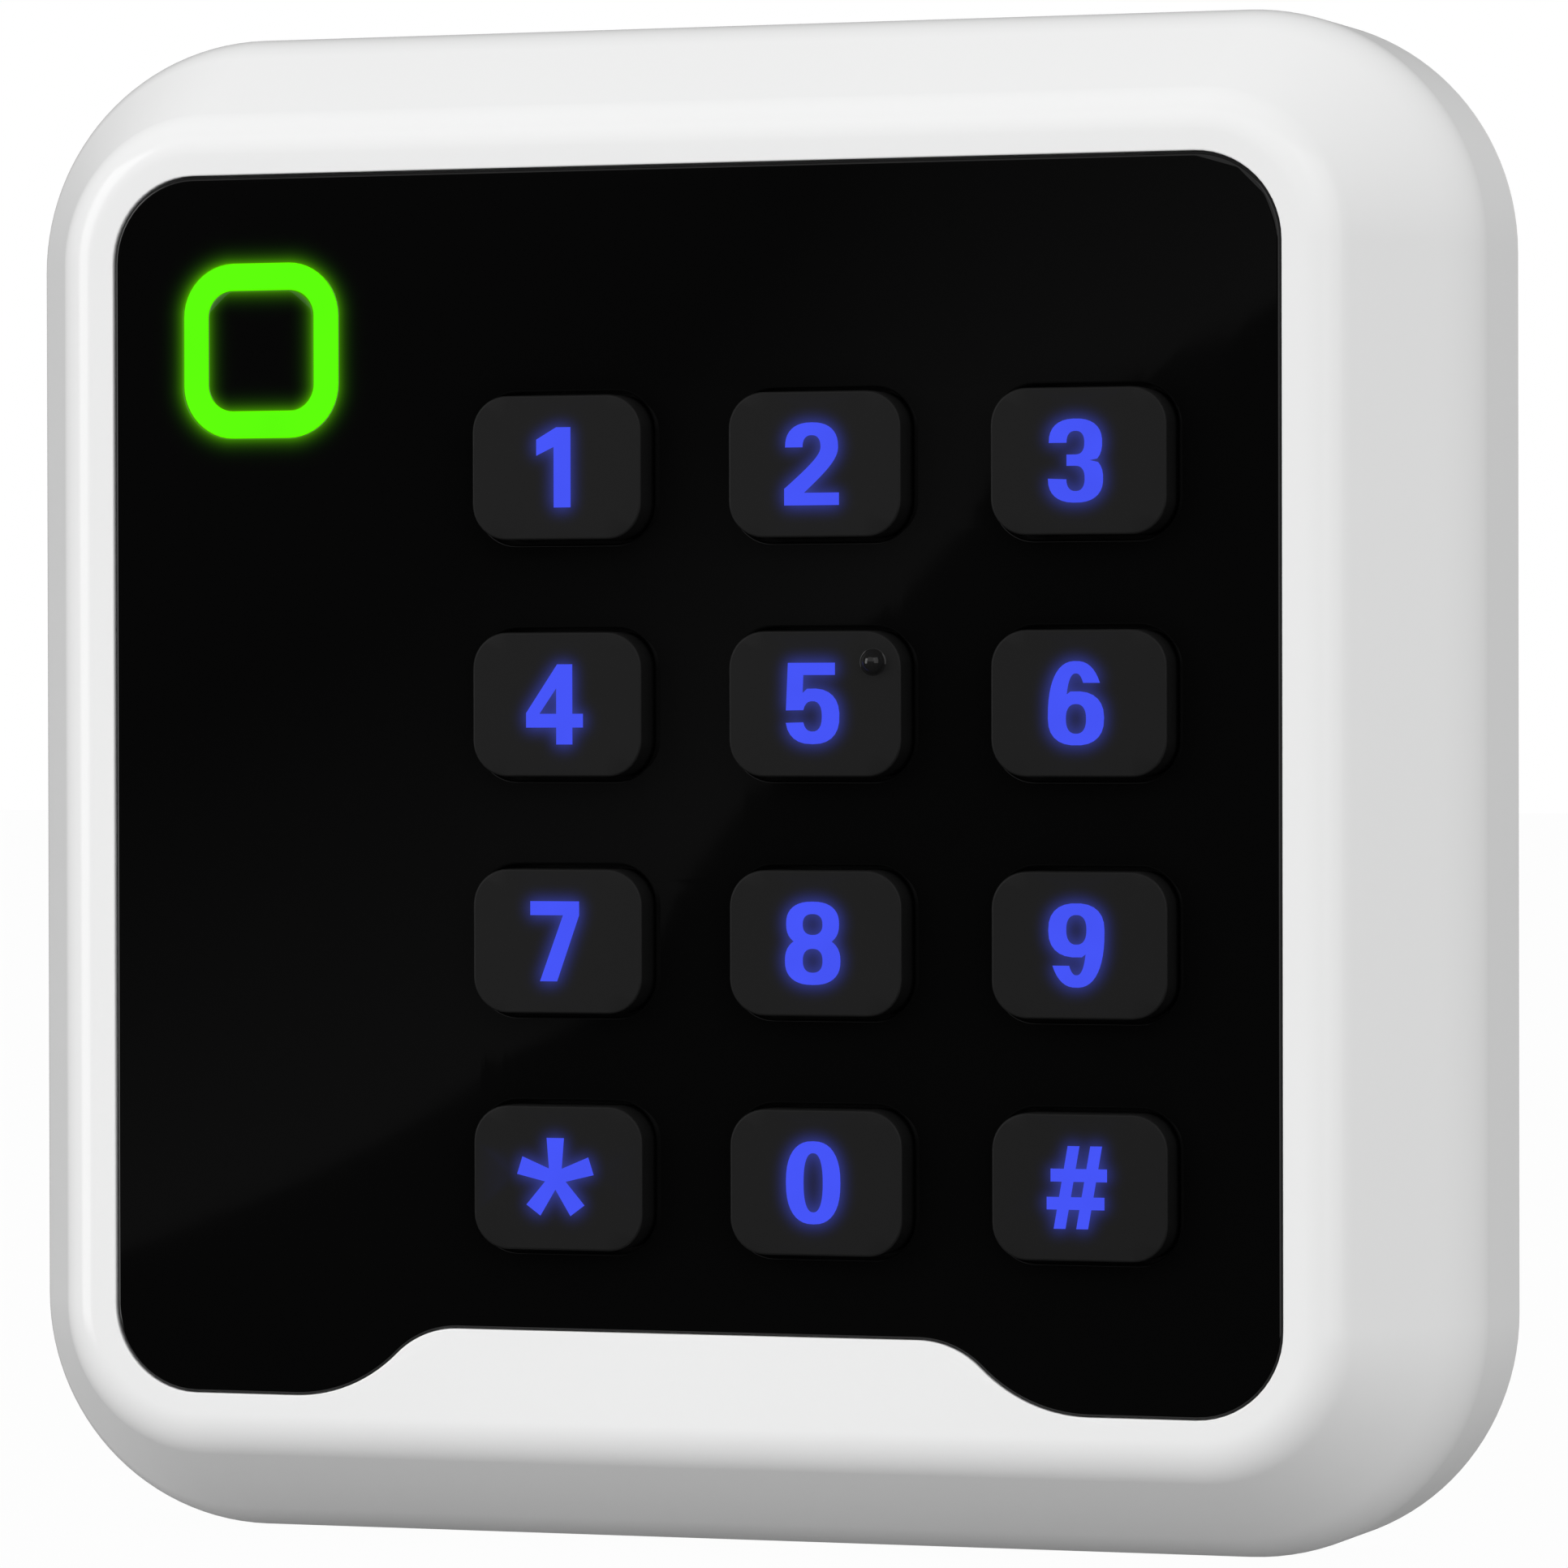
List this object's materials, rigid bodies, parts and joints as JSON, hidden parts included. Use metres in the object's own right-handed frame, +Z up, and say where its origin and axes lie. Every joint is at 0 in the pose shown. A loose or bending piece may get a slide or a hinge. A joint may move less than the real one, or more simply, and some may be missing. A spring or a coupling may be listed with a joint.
{
  "type": "keypad access reader",
  "caption": "Square wall-mounted keypad access reader: white cover, black fascia, sprung backlit rubber keys, lit status ring, circuit board with card antenna, and screw-fixed rear base.",
  "frame": {"origin": "centre of the rear face, in the wall plane, midway between the wall screw holes", "axes": "+Z up, +X to the right seen from the front, the front faces -Y and the wall is at Y = 0"},
  "size_m": [0.115, 0.0276, 0.115],
  "materials": {
    "white_cover": "glossy moulded white plastic",
    "black_fascia": "polished black plastic",
    "foam_tape": "thin foam bonding tape",
    "green_light_guide": "lit translucent plastic",
    "white_shroud": "matt white reflector plastic",
    "led_package": "light-emitting diode package",
    "clear_silicone": "translucent silicone rubber",
    "circuit_board": "green solder mask on glass fibre",
    "copper_wire": "varnished copper wire",
    "chip_black": "moulded epoxy packages",
    "beeper_case": "black moulded case",
    "switch_case": "black moulded case",
    "plunger_plastic": "red moulded plastic",
    "terminal_green": "green moulded plastic",
    "plated_steel": "zinc plated steel",
    "grey_base": "finely textured pale grey plastic",
    "black_rubber": "black moulded rubber",
    "key_rubber": "hard coated dark grey silicone rubber",
    "blue_legend": "lit translucent legend",
    "carbon_pill": "carbon loaded rubber"
  },
  "bodies": {
    "root": {"front_cover": "white_cover", "fascia_panel": "black_fascia", "bonding_tape": "foam_tape", "status_ring": "green_light_guide", "ring_insert": "black_fascia", "light_shroud": "white_shroud", "ring_leds": "led_package", "key_leds": "led_package", "keypad_mat": "clear_silicone", "mat_webs": "clear_silicone", "main_board": "circuit_board", "antenna_coil": "copper_wire", "processor": "chip_black", "support_chips": "chip_black", "beeper": "beeper_case", "tamper_switch": "switch_case", "terminal_block": "terminal_green", "terminal_screws": "plated_steel", "rear_base": "grey_base", "base_seal": "black_rubber", "cable_grommet": "black_rubber", "board_screws": "plated_steel", "cover_screw": "plated_steel"},
    "tamper": {"tamper_plunger": "plunger_plastic"},
    "button_1": {"key_1": "key_rubber", "legend_1": "blue_legend", "contact_pill_1": "carbon_pill"},
    "button_2": {"key_2": "key_rubber", "legend_2": "blue_legend", "contact_pill_2": "carbon_pill"},
    "button_3": {"key_3": "key_rubber", "legend_3": "blue_legend", "contact_pill_3": "carbon_pill"},
    "button_4": {"key_4": "key_rubber", "legend_4": "blue_legend", "contact_pill_4": "carbon_pill"},
    "button_5": {"key_5": "key_rubber", "legend_5": "blue_legend", "contact_pill_5": "carbon_pill"},
    "button_6": {"key_6": "key_rubber", "legend_6": "blue_legend", "contact_pill_6": "carbon_pill"},
    "button_7": {"key_7": "key_rubber", "legend_7": "blue_legend", "contact_pill_7": "carbon_pill"},
    "button_8": {"key_8": "key_rubber", "legend_8": "blue_legend", "contact_pill_8": "carbon_pill"},
    "button_9": {"key_9": "key_rubber", "legend_9": "blue_legend", "contact_pill_9": "carbon_pill"},
    "button_star": {"key_star": "key_rubber", "legend_star": "blue_legend", "contact_pill_star": "carbon_pill"},
    "button_0": {"key_0": "key_rubber", "legend_0": "blue_legend", "contact_pill_0": "carbon_pill"},
    "button_hash": {"key_hash": "key_rubber", "legend_hash": "blue_legend", "contact_pill_hash": "carbon_pill"}
  },
  "joints": [
    {"name": "press_1", "type": "slide", "parent": "root", "child": "button_1", "axis": [0, 1, 0], "range_m": [0, 0.0012], "stiffness_N_per_m": 1250, "deforming": ["mat_webs"]},
    {"name": "press_2", "type": "slide", "parent": "root", "child": "button_2", "axis": [0, 1, 0], "range_m": [0, 0.0012], "stiffness_N_per_m": 1250, "deforming": ["mat_webs"]},
    {"name": "press_3", "type": "slide", "parent": "root", "child": "button_3", "axis": [0, 1, 0], "range_m": [0, 0.0012], "stiffness_N_per_m": 1250, "deforming": ["mat_webs"]},
    {"name": "press_4", "type": "slide", "parent": "root", "child": "button_4", "axis": [0, 1, 0], "range_m": [0, 0.0012], "stiffness_N_per_m": 1250, "deforming": ["mat_webs"]},
    {"name": "press_5", "type": "slide", "parent": "root", "child": "button_5", "axis": [0, 1, 0], "range_m": [0, 0.0012], "stiffness_N_per_m": 1250, "deforming": ["mat_webs"]},
    {"name": "press_6", "type": "slide", "parent": "root", "child": "button_6", "axis": [0, 1, 0], "range_m": [0, 0.0012], "stiffness_N_per_m": 1250, "deforming": ["mat_webs"]},
    {"name": "press_7", "type": "slide", "parent": "root", "child": "button_7", "axis": [0, 1, 0], "range_m": [0, 0.0012], "stiffness_N_per_m": 1250, "deforming": ["mat_webs"]},
    {"name": "press_8", "type": "slide", "parent": "root", "child": "button_8", "axis": [0, 1, 0], "range_m": [0, 0.0012], "stiffness_N_per_m": 1250, "deforming": ["mat_webs"]},
    {"name": "press_9", "type": "slide", "parent": "root", "child": "button_9", "axis": [0, 1, 0], "range_m": [0, 0.0012], "stiffness_N_per_m": 1250, "deforming": ["mat_webs"]},
    {"name": "press_star", "type": "slide", "parent": "root", "child": "button_star", "axis": [0, 1, 0], "range_m": [0, 0.0012], "stiffness_N_per_m": 1250, "deforming": ["mat_webs"]},
    {"name": "press_0", "type": "slide", "parent": "root", "child": "button_0", "axis": [0, 1, 0], "range_m": [0, 0.0012], "stiffness_N_per_m": 1250, "deforming": ["mat_webs"]},
    {"name": "press_hash", "type": "slide", "parent": "root", "child": "button_hash", "axis": [0, 1, 0], "range_m": [0, 0.0012], "stiffness_N_per_m": 1250, "deforming": ["mat_webs"]},
    {"name": "tamper_slide", "type": "slide", "parent": "root", "child": "tamper", "axis": [0, 1, 0], "range_m": [-0.0005, 0.001], "stiffness_N_per_m": 300}
  ]
}
